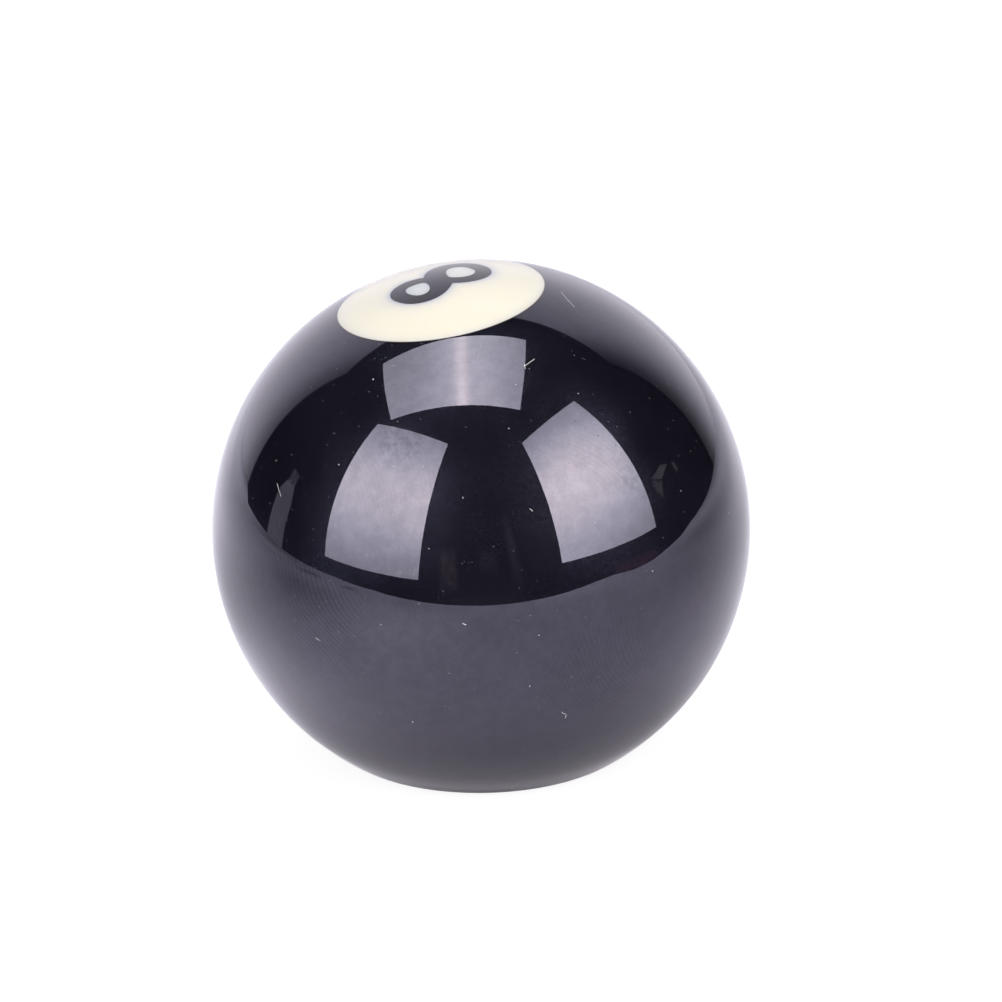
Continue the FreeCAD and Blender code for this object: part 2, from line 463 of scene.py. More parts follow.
def make_adapter():
    turn, ring = ring_maker(144)
    length = ADAPTER_LENGTH
    face_rings = (6.2, 5.35)            # radii across each end face
    outer_end_r = 6.95                  # where the end chamfers start
    inner_end_r = 5.2
    rings = []
    for z in np.arange(0.0, length + 1e-6, OUTER_PITCH / TURN_STEPS):
        radius = thread(z, turn, OUTER_PITCH, OUTER_THREAD_R, gap=-0.03)
        rings.append(ring(np.minimum(radius, outer_end_r + min(z, length - z)), z))
    rings += [ring(radius, length) for radius in face_rings]
    for z in np.arange(length, -1e-6, -INNER_PITCH / TURN_STEPS):
        radius = thread(z, turn, INNER_PITCH, INNER_THREAD_R, gap=0.02)
        radius = np.maximum(radius, inner_end_r - min(z, length - z))
        rings.append(ring(radius, max(z, 0.0)))
    rings += [ring(radius, 0.0) for radius in face_rings[::-1]]
    obj = ring_mesh("adapter_metal", rings)
    tidy(obj, 25)
    cut_slot(obj)
    tidy(obj, 25)
    return obj


# object, CAD piece, body, slot
counters = [large_outline, small_outline]
pieces = (
    (make_ball(), "ball_body", "knob", "black_resin"),
    (inlay("number_disc_resin", rim_outline, [numeral_outline], spacing=0.30),
     "number_disc", "knob", "cream_resin"),
    (inlay("numeral_resin", numeral_outline, counters, spacing=0.22),
     "numeral_eight", "knob", "black_resin"),
    (inlay("counter_large_resin", large_outline, [], spacing=0.18),
     "counter_large", "knob", "cream_resin"),
    (inlay("counter_small_resin", small_outline, [], spacing=0.18),
     "counter_small", "knob", "cream_resin"),
    (make_insert(), "threaded_insert", "knob", "insert_brass"),
    (make_adapter(), "thread_adapter", "adapter", "adapter_aluminium"))
for obj, node, body, slot in pieces:
    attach(obj, body)
    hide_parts(node)


# ------------------------------------------------------------------ shader node helpers
class Net:
    """Short ways to add nodes to a node tree; any value may be a number, a tuple or a socket"""

    def __init__(self, tree):
        self.tree = tree
        tree.nodes.clear()

    def put(self, socket, value):
        if isinstance(value, bpy.types.NodeSocket):
            self.tree.links.new(value, socket)
        elif hasattr(socket.default_value, "__len__"):
            value = list(value) if hasattr(value, "__len__") else [value] * 3
            if len(socket.default_value) == 4 and len(value) == 3:
                value.append(1.0)
            socket.default_value = value
        else:
            socket.default_value = value

    def node(self, kind, values=None, **props):
        """values: input name or number to value; None leaves an input alone"""
        node = self.tree.nodes.new(kind)
        for name, value in props.items():
            setattr(node, name, value)
        for key, value in (values or {}).items():
            if value is not None:
                self.put(node.inputs[key], value)
        return node

    def math(self, kind, *values):
        return self.node("ShaderNodeMath", dict(enumerate(values)), operation=kind).outputs[0]

    def add(self, one, two):
        return self.math("ADD", one, two)

    def sub(self, one, two):
        return self.math("SUBTRACT", one, two)

    def mul(self, one, two):
        return self.math("MULTIPLY", one, two)

    def div(self, one, two):
        return self.math("DIVIDE", one, two)

    def max(self, one, two):
        return self.math("MAXIMUM", one, two)

    def less(self, one, two):
        return self.math("LESS_THAN", one, two)

    def linear(self, value, gain, offset):
        return self.math("MULTIPLY_ADD", value, gain, offset)

    def fall(self, squared):
        """exp(-squared)"""
        return self.math("EXPONENT", self.mul(squared, -1.0))

    def bell(self, value, centre, width):
        offset = self.div(self.sub(value, centre), width)
        return self.fall(self.mul(offset, offset))

    def vec(self, kind, one, two=None, scale=None):
        node = self.node("ShaderNodeVectorMath", {0: one, 1: two, "Scale": scale}, operation=kind)
        return node.outputs["Value" if kind in ("LENGTH", "DISTANCE") else 0]

    def xyz(self, vector):
        return self.node("ShaderNodeSeparateXYZ", {0: vector}).outputs

    def combine(self, x, y, z=None):
        return self.node("ShaderNodeCombineXYZ", {0: x, 1: y, 2: z}).outputs[0]

    def smooth(self, value, span, to=(0.0, 1.0)):
        """Smooth step over span, mapped onto to"""
        values = {"Value": value, "From Min": span[0], "From Max": span[1],
                  "To Min": to[0], "To Max": to[1]}
        return self.node("ShaderNodeMapRange", values, interpolation_type="SMOOTHSTEP",
                         clamp=True).outputs["Result"]

    def mix(self, share, one, two):
        values = {0: share, 6: one, 7: two}
        return self.node("ShaderNodeMix", values, data_type="RGBA").outputs[2]

    def lerp(self, share, at0, at1):
        values = {0: share, 2: at0, 3: at1}
        return self.node("ShaderNodeMix", values, data_type="FLOAT").outputs[0]

    def noise(self, vector, scale, detail=3.0, rough=0.5, distort=0.0, output="Fac"):
        values = {"Vector": vector, "Scale": scale, "Detail": detail, "Roughness": rough,
                  "Distortion": distort}
        return self.node("ShaderNodeTexNoise", values).outputs[output]

    def attr(self, name):
        return self.node("ShaderNodeAttribute", attribute_name=name).outputs["Fac"]

    def coord(self, kind):
        return self.node("ShaderNodeTexCoord").outputs[kind]

    def point_mm(self):
        """Object coordinates in mm"""
        return self.vec("SCALE", self.coord("Object"), scale=1000.0)

    def camera_ray(self):
        return self.node("ShaderNodeLightPath").outputs["Is Camera Ray"]

    def bump(self, strength, distance, height):
        values = {"Strength": strength, "Distance": distance, "Height": height}
        return self.node("ShaderNodeBump", values).outputs[0]

    def bsdf(self, **values):
        values = {name.replace("_", " "): value for name, value in values.items()}
        return self.node("ShaderNodeBsdfPrincipled", values).outputs[0]

    def diffuse(self, colour):
        return self.node("ShaderNodeBsdfDiffuse", {"Color": colour}).outputs[0]

    def emission(self, strength, colour=None):
        values = {"Color": colour, "Strength": strength}
        return self.node("ShaderNodeEmission", values).outputs[0]

    def clear(self):
        return self.node("ShaderNodeBsdfTransparent").outputs[0]

    def add_shader(self, one, two):
        return self.node("ShaderNodeAddShader", {0: one, 1: two}).outputs[0]

    def mix_shader(self, share, one, two):
        return self.node("ShaderNodeMixShader", {0: share, 1: one, 2: two}).outputs[0]

    def out(self, surface):
        self.node("ShaderNodeOutputMaterial", {"Surface": surface})


def new_material(name):
    material = bpy.data.materials.new(name)
    material.use_nodes = True
    return material, Net(material.node_tree)


# ------------------------------------------------------------------ wear on the polished resin
# Places are azimuth and elevation in degrees: azimuth 0 faces -Y, 90 faces +X. Sizes in mm.
# fibres: azimuth, elevation of the middle, heading, bend radius, half length, half width
FIBRES = [
    (75.8, 69.8, -137, 9.0, 1.45, 0.016), (21.3, 58.5, 26, 14.0, 0.74, 0.022),
    (18.9, 57.7, -98, 6.0, 0.30, 0.018), (-53.0, 23.8, -41, 12.0, 0.74, 0.019),
    (17.6, -21.2, -40, 0.50, 0.32, 0.024), (18.3, -22.2, -100, 0.60, 0.24, 0.024),
    (-3.9, 2.8, -24, 7.0, 0.19, 0.030), (-37.2, -4.9, -20, 6.0, 0.28, 0.020),
    (11.7, 26.1, -45, 7.0, 0.19, 0.022), (120, 30, 40, 6.0, 0.8, 0.018),
    (200, 20, 75, 5.0, 0.7, 0.018), (160, -12, -30, 9.0, 0.6, 0.018),
    (250, 40, 10, 8.0, 0.8, 0.018)]
# bright specks: azimuth, elevation, radius
SPECKS = [
    (-38.6, 52.8, 0.060), (9.6, -12.5, 0.056), (-16.7, -22.5, 0.064), (11.5, -0.5, 0.048),
    (33.5, 48.8, 0.040), (8.7, 43.7, 0.048), (-4.1, 29.3, 0.048), (-11.5, 18.6, 0.040),
    (38.6, 8.2, 0.060), (-13.4, 6.9, 0.040), (13.4, 53.6, 0.040), (-21.7, 1.5, 0.040),
    (9.8, 4.1, 0.036), (-7.4, -8.6, 0.036), (51.8, 21.8, 0.048), (68.0, 11.1, 0.048),
    (60.0, -28.6, 0.060), (61.5, -27.6, 0.040), (59.0, -27.2, 0.036), (-57.7, 29.0, 0.042),
    (-37.3, 33.1, 0.045)]
# dark specks: azimuth, elevation, radius
PITS = [(25.4, -39.4, 0.085), (1.0, -47.7, 0.070), (33.6, 38.9, 0.060), (37.5, 35.7, 0.050),
        (28.5, 43.1, 0.060)]
# patches with more fine dust: azimuth, elevation, radius
DUSTY = [(36, 41, 4.0), (13, 36, 3.2), (17, 52, 3.0), (215, 38, 5.0), (110, 55, 4.0)]
# milky film: azimuth, elevation, radius, strength
MILKY = [(0, 15, 9.0, 1.7), (-22, 39, 5.0, 0.8), (0, 31, 9.0, 0.5), (36, 41, 4.5, 0.8),
         (150, 20, 9.0, 1.0)]
# dull smudges in the gloss: azimuth, elevation, radius
SMUDGES = [(41, 29, 3.6), (-22, 40, 3.4), (130, 34, 5.0), (-110, 25, 6.0)]
# finger marks: azimuth, elevation, radius; azimuth, elevation the ridges curve round; strength
FINGERS = [
    (-41, 2, 9.0, -3, 27, 1.45), (27, -11, 8.0, 62, 8, 0.7), (34, 36, 5.5, 10, 12, 0.30),
    (-24, 33, 6.5, -60, 10, 0.25), (118, 12, 8.0, 150, 40, 0.9), (205, -4, 8.0, 180, 30, 0.9),
    (285, 26, 8.0, 250, 0, 0.9)]
RIDGE_PITCH = 0.45


def towards(azimuth, elevation):
    """Unit vector; azimuth 0 is -Y, 90 is +X"""
    turn, rise = math.radians(azimuth), math.radians(elevation)
    return np.array([math.sin(turn) * math.cos(rise), -math.cos(turn) * math.cos(rise),
                     math.sin(rise)])


def ball_point(azimuth, elevation):
    return towards(azimuth, elevation) * BALL_R + [0, 0, CENTRE_Z]


def near(net, point, azimuth, elevation):
    """Distance from a place on the ball, mm"""
    return net.vec("DISTANCE", point, ball_point(azimuth, elevation))


def fibre_group():
    """Mask of a thin fibre on the surface: part of a circle round C of radius R, within Half
    of its midpoint M and W of the curve; P is the shaded point"""
    group = bpy.data.node_groups.new("fibre", "ShaderNodeTree")
    for name, kind in (("P", "Vector"), ("C", "Vector"), ("M", "Vector"),
                       ("R", "Float"), ("Half", "Float"), ("W", "Float")):
        group.interface.new_socket(name, in_out="INPUT", socket_type="NodeSocket" + kind)
    group.interface.new_socket("Mask", in_out="OUTPUT", socket_type="NodeSocketFloat")
    net = Net(group)
    given = net.node("NodeGroupInput").outputs
    from_centre = net.vec("DISTANCE", given["P"], given["C"])
    off = net.math("ABSOLUTE", net.sub(from_centre, given["R"]))
    close = net.less(net.vec("DISTANCE", given["P"], given["M"]), given["Half"])
    thin = net.less(off, given["W"])
    net.node("NodeGroupOutput", {"Mask": net.mul(close, thin)})
    return group


fibre_nodes = fibre_group()


def fibre(net, point, azimuth, elevation, heading, bend, half, width):
    middle = ball_point(azimuth, elevation)
    normal = (middle - [0, 0, CENTRE_Z]) / BALL_R
    east = np.cross([0, 0, 1.0], normal)
    east /= np.linalg.norm(east)
    north = np.cross(normal, east)
    angle = math.radians(heading + 90)
    side = math.cos(angle) * east + math.sin(angle) * north
    values = {"P": point, "C": middle + side * bend, "M": middle, "R": bend, "Half": half,
              "W": width}
    return net.node("ShaderNodeGroup", values, node_tree=fibre_nodes).outputs[0]


def dots(net, point, places):
    """Hard-edged dots, one mask for each place"""
    return [net.less(near(net, point, azimuth, elevation), radius)
            for azimuth, elevation, radius in places]


def dust(net, point):
    """Mask of the fibres, bright specks and fine dust; mask of the dark specks"""
    masks = [fibre(net, point, *row) for row in FIBRES] + dots(net, point, SPECKS)
    cells = net.node("ShaderNodeTexVoronoi", {
        "Vector": net.vec("ADD", point, (31.7, 11.3, 5.9)), "Scale": 2.4}, feature="F1")
    random = net.node("ShaderNodeSeparateColor", {0: cells.outputs["Color"]}).outputs[1]
    thick = reduce(net.max, [
        net.smooth(near(net, point, azimuth, elevation), span=(radius, radius * 0.3))
        for azimuth, elevation, radius in DUSTY])
    # a lower power leaves more of the cells with a grain of visible size
    size = net.mul(net.math("POWER", random, net.lerp(thick, at0=6.0, at1=1.6)), 0.12)
    fine = net.mul(net.less(cells.outputs["Distance"], size), net.lerp(thick, at0=0.34, at1=0.22))
    return net.max(reduce(net.max, masks), fine), reduce(net.max, dots(net, point, PITS))


def ridges(net, point, grain):
    """Mask of the finger marks' ridges, and the mask of each finger's patch"""
    wobble = net.noise(point, scale=0.14, detail=0.0, output="Color")
    bent = net.vec("ADD", point, net.vec("SCALE", wobble, scale=2.0))
    patches = []
    marks = []
    for azimuth, elevation, radius, curl_azimuth, curl_elevation, strength in FINGERS:
        patches.append(net.smooth(near(net, point, azimuth, elevation),
                                  span=(radius, radius * 0.45), to=(0.0, strength)))
        phase = net.mul(near(net, bent, curl_azimuth, curl_elevation), 2 * math.pi / RIDGE_PITCH)
        wave = net.linear(net.math("SINE", phase), gain=0.5, offset=0.5)
        marks.append(net.mul(wave, patches[-1]))
    broken = net.smooth(grain, span=(0.15, 0.55), to=(0.45, 1.0))
    return net.mul(reduce(net.add, marks), broken), patches


def wear(net, point):
    """What every polished resin shares: dust, roughness, normal and specular tint"""
    smear = net.noise(point, scale=0.09, detail=3.0, rough=0.55)
    mottle = net.noise(point, scale=0.75, detail=4.0, rough=0.70)
    grain = net.noise(point, scale=4.2, detail=1.0)
    blot = net.noise(point, scale=1.7, detail=3.0, rough=0.65)
    marks, patches = ridges(net, point, grain)
    dusty, dark = dust(net, point)

    base_rough, smear_rough, mark_rough, dirt_rough = 0.014, 0.010, 0.016, 0.7
    rough = net.add(base_rough, net.mul(net.smooth(smear, span=(0.45, 0.75)), smear_rough))
    rough = net.add(rough, net.mul(marks, mark_rough))
    rough = net.lerp(net.max(dusty, dark), rough, dirt_rough)

    # a thin greasy film takes a little off the shine; smudges, marks and pits take more
    smudge_loss, mark_loss, pit_loss = -0.22, -0.22, -0.75
    film = net.mul(net.smooth(mottle, span=(0.34, 0.66), to=(1.04, 0.90)),
                   net.smooth(grain, span=(0.30, 0.72), to=(1.025, 0.94)))
    for azimuth, elevation, radius in SMUDGES:
        smudge = net.smooth(near(net, point, azimuth, elevation), span=(radius, radius * 0.35))
        smudge = net.mul(smudge, net.smooth(blot, span=(0.44, 0.62)))
        film = net.mul(film, net.linear(smudge, gain=smudge_loss, offset=1.0))
    film = net.mul(film, net.linear(marks, gain=mark_loss, offset=1.0))
    film = net.mul(film, net.linear(dark, gain=pit_loss, offset=1.0))
    tint = net.vec("SCALE", (1.0, 0.97, 1.20), scale=film)

    smear_height, mottle_height, dust_height = 4.0, 0.4, 6.0
    height = net.add(net.mul(smear, smear_height), net.add(net.mul(mottle, mottle_height),
                                                           net.mul(dusty, dust_height)))
    return SimpleNamespace(
        dust=dusty, rough=rough, tint=net.mix(dusty, tint, (0.3, 0.3, 0.3)),
        normal=net.bump(strength=0.35, distance=0.000004, height=height),
        smear=smear, grain=grain, patches=patches)


# ------------------------------------------------------------------ materials
def polished_black(net, point, base, ior, haze):
    """Wet gloss over near-black, under a faint veil of the haze colour"""
    worn = wear(net, point)
    cloudy = net.noise(point, scale=0.30, detail=3.0, rough=0.60)
    gloss = net.bsdf(Base_Color=net.mix(worn.dust, base, (0.42, 0.41, 0.40)),
                     Roughness=worn.rough, IOR=ior, Normal=worn.normal, Specular_Tint=worn.tint)
    amount = net.mul(net.smooth(worn.smear, span=(0.35, 0.70), to=(0.5, 1.5)),
                     net.smooth(worn.grain, span=(0.35, 0.75), to=(0.7, 1.8)))
    finger_gain = 0.30
    amount = net.add(amount, net.mul(reduce(net.max, worn.patches), finger_gain))
    for azimuth, elevation, radius, gain in MILKY:
        milk = net.smooth(near(net, point, azimuth, elevation), span=(radius, radius * 0.1),
                          to=(0.0, gain))
        uneven = net.smooth(cloudy, span=(0.30, 0.70), to=(0.75, 1.25))
        amount = net.add(amount, net.mul(milk, uneven))
    veil = net.node("ShaderNodeBsdfAnisotropic", {
        "Roughness": 0.33, "Color": net.vec("SCALE", haze, scale=amount)}).outputs[0]
    return net.add_shader(gloss, veil)


def sanded(net, point, radius):
    """Ground surface with rings about the Z axis"""
    drift = net.noise(net.vec("MULTIPLY", point, (0.4, 0.4, 0.4)), scale=1.0, detail=2.0)
    rings = net.combine(net.mul(radius, 9.0), net.mul(drift, 1.5))
    sand = net.noise(rings, scale=1.0, detail=5.0)
    return net.bsdf(Base_Color=net.mix(sand, (0.010, 0.010, 0.011), (0.030, 0.030, 0.032)),
                    Roughness=net.lerp(sand, at0=0.30, at1=0.52), IOR=1.58,
                    Normal=net.bump(strength=0.5, distance=0.00002, height=sand))


def axis_distance(net, point):
    return net.vec("LENGTH", net.vec("MULTIPLY", point, (1.0, 1.0, 0.0)))


def black_resin():
    """The ball: polished, but sanded on its flat and in its bore"""
    material, net = new_material("black_resin")
    point = net.point_mm()
    cloud = net.noise(point, scale=0.045)
    base = net.mix(cloud, (0.0018, 0.0018, 0.0034), (0.0026, 0.0026, 0.0046))
    z = net.xyz(point)[2]
    radius = axis_distance(net, point)
    flat = net.mul(net.less(z, 0.02), net.less(radius, BASE_R + 0.1))
    bore = net.mul(net.less(radius, BORE_R + 0.2), net.less(z, BORE_Z + 0.5))
    gloss = polished_black(net, point, base, ior=1.58, haze=(0.0040, 0.0041, 0.0062))
    net.out(net.mix_shader(net.max(flat, bore), gloss, sanded(net, point, radius)))
    return material


def numeral_black():
    material, net = new_material("numeral_black")
    point = net.point_mm()
    cloud = net.noise(point, scale=0.3)
    base = net.mix(cloud, (0.0012, 0.0012, 0.0020), (0.0022, 0.0022, 0.0034))
    net.out(polished_black(net, point, base, ior=1.40, haze=(0.0010, 0.0010, 0.0013)))
    return material


def cream_resin(name, body, shade_near_black, shade_near_black_mm):
    """Cream with painted shade near the black: it greys towards a shaded bluish colour beside the
    numeral and the disc's rim, under a clear polished coat
    """
    material, net = new_material(name)
    point = net.point_mm()
    cloud = net.noise(point, scale=0.16, detail=4.0, rough=0.55)
    speck = net.noise(point, scale=2.4, detail=2.0)
    base = net.mix(cloud, body, tuple(c * 0.955 for c in body))
    base = net.mix(net.smooth(speck, span=(0.62, 0.80), to=(0.0, 0.10)), base, (1.0, 0.95, 0.75))

    def near_border(label, reach, strength):
        return net.mul(net.math("EXPONENT", net.div(net.attr(label), -reach)), strength)

    # painted shade: the cream darkens and turns bluish close to the black numeral, and a little
    # close to the black ball at the rim
    painted_shade = net.max(near_border("black_mm", reach=shade_near_black_mm, strength=0.9),
                   near_border("rim_mm", reach=0.35, strength=0.5))
    base = net.mix(painted_shade, base, shade_near_black)
    # brown bond line round the disc
    line = net.smooth(net.attr("rim_mm"), span=(0.03, 0.085), to=(1.0, 0.0))
    base = net.mix(net.mul(line, 0.9), base, (0.113, 0.068, 0.026))
    worn = wear(net, point)
    ior = 1.34
    net.out(net.bsdf(
        Base_Color=net.mix(worn.dust, base, (0.85, 0.84, 0.82)),
        Roughness=worn.rough, IOR=ior, Normal=worn.normal, Specular_Tint=worn.tint,
        Specular_IOR_Level=0.0,
        Subsurface_Weight=net.mul(net.sub(1.0, worn.dust), 0.18),
        Subsurface_Radius=(1.0, 0.75, 0.45), Subsurface_Scale=0.0006,
        Coat_Weight=1.0, Coat_Roughness=worn.rough, Coat_IOR=ior,
        Coat_Tint=(0.63, 0.63, 0.63), Coat_Normal=worn.normal))
    return material


def metal(name, colour, stained, rough, marks_per_mm):
    """Turned metal with marks about the Z axis and darker stains"""
    material, net = new_material(name)
    point = net.point_mm()
    turned = net.combine(net.mul(axis_distance(net, point), marks_per_mm),
                         net.mul(net.xyz(point)[2], marks_per_mm),
                         net.mul(net.noise(point, scale=0.3, detail=2.0), 2.0))
    marks = net.noise(turned, scale=1.0, detail=5.0, rough=0.6)
    stain = net.noise(point, scale=0.35, detail=5.0, rough=0.6)
    share = net.smooth(stain, span=(0.42, 0.70), to=(0.0, 0.6))
    net.out(net.bsdf(Base_Color=net.mix(share, colour, stained), Metallic=1.0,
                     Roughness=net.lerp(marks, at0=rough * 0.7, at1=rough * 1.4),
                     Normal=net.bump(strength=0.4, distance=0.00001, height=marks)))
    return material


black = black_resin()
numeral = numeral_black()
cream = cream_resin("cream_resin", body=(0.677, 0.665, 0.565), shade_near_black=(0.330, 0.368, 0.482),
                    shade_near_black_mm=0.48)
# the counters' cream has a darker and bluer body than the disc's: painted shade inside the black
# numeral
cream_large = cream_resin("cream_counter_large", body=(0.572, 0.590, 0.572),
                          shade_near_black=(0.406, 0.426, 0.445), shade_near_black_mm=0.35)
cream_small = cream_resin("cream_counter_small", body=(0.513, 0.551, 0.577),
                          shade_near_black=(0.374, 0.411, 0.460), shade_near_black_mm=0.35)
brass = metal("insert_brass", colour=(0.72, 0.52, 0.25), stained=(0.42, 0.27, 0.11),
              rough=0.24, marks_per_mm=7.0)
aluminium = metal("adapter_aluminium", colour=(0.60, 0.60, 0.62), stained=(0.40, 0.40, 0.42),
                  rough=0.30, marks_per_mm=9.0)

# in the order of pieces; the CAD pieces get the same materials
piece_materials = (black, cream, numeral, cream_large, cream_small, brass, aluminium)
for (obj, node, _, _), material in zip(pieces, piece_materials):
    for mesh in (obj.data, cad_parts[node].data):
        mesh.materials.clear()
        mesh.materials.append(material)

# ------------------------------------------------------------------ camera
ELEVATION = math.radians(23.05)
ROLL = math.radians(1.4)
CAMERA_DISTANCE = 30 * BALL_R * MM
SENSOR_MM = 36.0
LENS_MM = 290.06985
# tangents by which the camera's back axis is turned off the ball's centre
BACK_RIGHT = -0.0024772063
BACK_UP = -0.0033380355


def make_camera():
    level_right = Vector((1, 0, 0))
    level_up = Vector((0, math.sin(ELEVATION), math.cos(ELEVATION)))
    outward = Vector((0, -math.cos(ELEVATION), math.sin(ELEVATION)))
    right = level_right * math.cos(ROLL) - level_up * math.sin(ROLL)
    up = level_up * math.cos(ROLL) + level_right * math.sin(ROLL)
    back = (outward + right * BACK_RIGHT + up * BACK_UP).normalized()
    right = (right - back * right.dot(back)).normalized()
    up = back.cross(right)
    lens = bpy.data.cameras.new("camera")
    lens.sensor_width = SENSOR_MM
    lens.lens = LENS_MM
    lens.clip_start = 0.01
    lens.clip_end = 20.0
    obj = bpy.data.objects.new("camera", lens)
    scene.collection.objects.link(obj)
    turn = Matrix((right, up, back)).transposed().to_4x4()
    obj.matrix_world = Matrix.Translation(CENTRE + outward * CAMERA_DISTANCE) @ turn
    scene.camera = obj
    return obj


camera = make_camera()

# ------------------------------------------------------------------ studio; lengths in metres
# the studio turns about Z with the camera
rig = bpy.data.objects.new("studio", None)
scene.collection.objects.link(rig)
track = rig.constraints.new("LOCKED_TRACK")
track.target = camera
track.track_axis = "TRACK_NEGATIVE_Y"
track.lock_axis = "LOCK_Z"


def stage(name, mesh):
    obj = bpy.data.objects.new(name, mesh)
    scene.collection.objects.link(obj)
    obj.parent = rig
    return obj


def sheet(name, corners, cells):
    """Flat quad as a grid with UVs; corners at UV (0,0) (1,0) (1,1) (0,1)"""
    corner = [Vector(v) for v in corners]
    steps = [i / cells for i in range(cells + 1)]
    uvs = [(u, v) for v in steps for u in steps]
    points = [corner[0] * (1 - u) * (1 - v) + corner[1] * u * (1 - v) + corner[2] * u * v
              + corner[3] * (1 - u) * v for u, v in uvs]
    row = cells + 1
    faces = [(k, k + 1, k + row + 1, k + row)
             for j in range(cells) for k in range(j * row, j * row + cells)]
    mesh = bpy.data.meshes.new(name)
    mesh.from_pydata(points, [], faces)
    layer = mesh.uv_layers.new(name="UVMap")
    for loop in mesh.loops:
        layer.data[loop.index].uv = uvs[loop.vertex_index]
    return stage(name, mesh)


def hide(obj):
    """Lights and reflects only: unseen by the camera, and casts no shadow"""
    obj.visible_camera = False
    obj.visible_shadow = False


def lamp(name, corners, profile):
    """Softbox whose brightness over (u, v) is given by profile, a little warmer where bright"""
    obj = sheet(name, corners, cells=12)
    material, net = new_material(name)
    u, v, _ = net.xyz(net.coord("UV"))
    level = profile(net, u, v)
    cloth = net.noise(net.coord("UV"), scale=7.0, detail=4.0, rough=0.6, distort=0.4)
    level = net.mul(level, net.smooth(cloth, span=(0.25, 0.75), to=(0.95, 1.05)))
    warmth = net.smooth(level, span=(4.5, 10.5))
    colour = net.mix(warmth, (1.0, 0.995, 1.02), (1.0, 0.918, 0.85))
    net.out(net.emission(level, colour))
    obj.data.materials.append(material)
    hide(obj)


def top_profile(net, u, v):
    wide = net.mul(net.bell(u, centre=0.60, width=0.27), 3.1)
    core = net.mul(net.bell(u, centre=0.553, width=0.045), net.lerp(v, at0=3.0, at1=4.2))
    return net.add(net.lerp(v, at0=3.1, at1=4.6), net.add(wide, core))


def left_profile(net, u, v):
    glow = net.mul(net.bell(v, centre=0.45, width=0.33), net.lerp(u, at0=5.2, at1=6.4))
    return net.add(3.2, glow)


def right_profile(net, u, v):
    spot = net.mul(net.bell(u, centre=0.45, width=0.32), net.bell(v, centre=0.58, width=0.80))
    glow = net.mul(spot, 7.6)
    side = net.mul(net.mul(net.sub(v, 0.45), u), 3.2)
    return net.add(net.add(net.lerp(u, at0=3.1, at1=4.1), side), glow)


lamp("softbox_top", [(-0.3371, 0.2054, 0.583), (0.1811, 0.2537, 0.6555),
                     (0.1961, -0.1873, 0.6971), (-0.3859, -0.1286, 0.6056)], top_profile)
lamp("softbox_left", [(-0.5664, -0.1368, 0.7327), (-0.2035, -0.4808, 0.8323),
                      (-0.4411, -0.8924, 0.0251), (-0.8954, -0.3564, 0.0232)], left_profile)
lamp("softbox_right", [(0.5309, -0.0301, 0.7834), (0.9555, -0.1808, 0.0793),
                       (0.5425, -0.824, 0.1003), (0.2705, -0.4485, 0.7858)], right_profile)

# below this sine of elevation the camera sees darker surroundings, so that the cream still
# stands out against them
LOW_SINE = 0.14
LOW_WHITE = 0.80
SEEN_WHITE = 1.1


def camera_low(net, sine=0.0):
    """1 when the camera is below this sine of elevation; at 0 it is under the table"""
    up = net.node("ShaderNodeVectorTransform", {0: (0.0, 0.0, 1.0)}, vector_type="VECTOR",
                  convert_from="WORLD", convert_to="CAMERA").outputs[0]
    return net.math("GREATER_THAN", net.xyz(up)[2], -sine)


# white paper table: outline (x, y)
TABLE = [
    (-0.63, 0.40), (-0.495, 0.290), (-0.387, 0.208), (-0.325, 0.161), (-0.334, 0.136),
    (-0.335, 0.093), (-0.322, 0.053), (-0.305, 0.022), (-0.286, -0.003), (-0.274, -0.049),
    (-0.251, -0.091), (-0.228, -0.130), (-0.151, -0.166), (0.006, -0.171), (0.092, -0.175),
    (0.177, -0.179), (0.220, -0.163), (0.215, -0.109), (0.238, -0.075), (0.291, -0.047),
    (0.330, -0.009), (0.431, 0.054), (0.460, 0.125), (0.476, 0.201), (0.540, 0.40)]
# painted patches of light and shade on the paper, for every ray but the camera's: centre x, y;
# width x, y; gain
PAINTED_LIGHT_PATCHES = [
    (-0.040, -0.070, 0.040, 0.050, 0.42), (-0.110, -0.030, 0.050, 0.035, -0.42),
    (-0.280, 0.010, 0.110, 0.120, -0.62), (-0.024, 0.000, 0.022, 0.016, 0.50),
    (-0.070, 0.065, 0.040, 0.035, 0.25), (0.090, -0.010, 0.045, 0.045, -0.22),
    (0.190, 0.040, 0.090, 0.080, -0.48), (0.120, -0.160, 0.060, 0.030, 0.25),
    (0.004, -0.019, 0.012, 0.006, -0.20), (-0.220, 0.300, 0.200, 0.160, 0.42),
    (0.500, 0.300, 0.200, 0.220, -0.38), (0.000, -0.090, 0.030, 0.030, -0.10),
    (0.000, 0.250, 0.110, 0.140, -0.22), (0.330, 0.390, 0.140, 0.060, 0.30),
    (-0.095, 0.165, 0.035, 0.065, 0.24), (0.086, 0.110, 0.035, 0.060, 0.16),
    (0.045, 0.022, 0.020, 0.022, 0.17), (0.027, 0.000, 0.010, 0.008, 0.20),
    (-0.310, 0.390, 0.100, 0.050, 0.10), (-0.228, 0.016, 0.022, 0.040, 0.30),
    (-0.190, -0.064, 0.012, 0.020, -0.50), (-0.152, -0.113, 0.010, 0.010, -0.60)]


